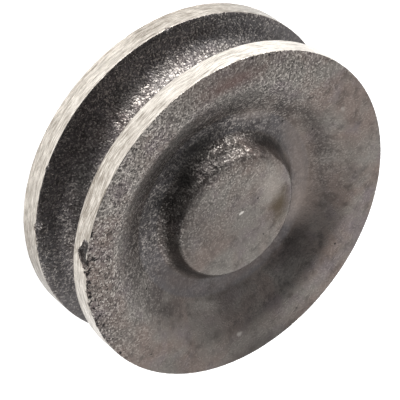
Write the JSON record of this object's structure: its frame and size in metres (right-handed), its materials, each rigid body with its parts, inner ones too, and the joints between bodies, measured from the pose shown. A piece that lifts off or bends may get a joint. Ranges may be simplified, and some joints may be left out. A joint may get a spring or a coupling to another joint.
{
  "type": "wire rope sheave",
  "caption": "Small grooved wheel for wire rope, cast in one piece with dished faces, a flush solid boss and ground rim lands.",
  "frame": {"origin": "middle of the lower side face, on the wheel's axis, in the plane that the wheel lies on", "axes": "+Z along the wheel's axis, up through the other face; +X and +Y along two radii. The chipped stretch of the upper land lies towards +X -Y"},
  "size_m": [0.075, 0.075, 0.023],
  "materials": {
    "cast_skin": "as-cast skin, sand texture, uncoated",
    "ground_land": "ground bright, fine marks round the rim"
  },
  "bodies": {
    "root": {"sheave": "cast_skin"}
  },
  "joints": []
}
